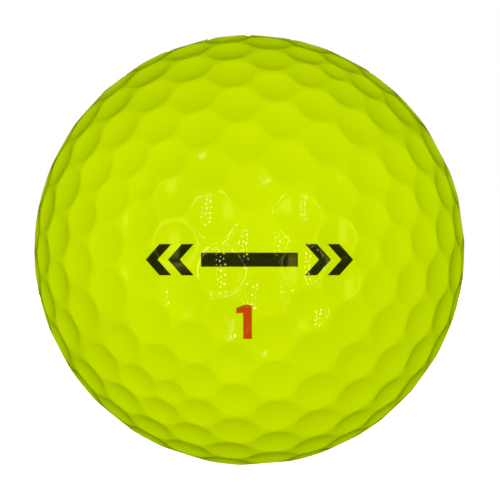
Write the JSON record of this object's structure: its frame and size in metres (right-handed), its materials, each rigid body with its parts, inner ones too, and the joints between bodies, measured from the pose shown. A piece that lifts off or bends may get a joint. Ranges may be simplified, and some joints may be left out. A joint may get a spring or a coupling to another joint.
{
  "type": "golf ball",
  "caption": "Two-piece golf ball with a solid rubber core, a yellow dimpled cover, and printed alignment marks and play numbers on opposite sides.",
  "frame": {"origin": "centre of the ball", "axes": "-Y is the direction that the front print faces, and +Z is the print's upright; -Z points down into a tee"},
  "size_m": [0.0426, 0.0428, 0.0426],
  "materials": {
    "core_rubber": "matte moulded polybutadiene rubber",
    "cover_ionomer": "glossy optic-yellow ionomer under a clear coat",
    "black_ink": "pad-printed black ink under the clear coat",
    "orange_ink": "pad-printed orange-red ink under the clear coat"
  },
  "bodies": {
    "root": {"core": "core_rubber", "cover": "cover_ionomer", "front_alignment_mark": "black_ink", "front_play_number": "orange_ink", "back_alignment_mark": "black_ink", "back_play_number": "orange_ink"}
  },
  "joints": []
}
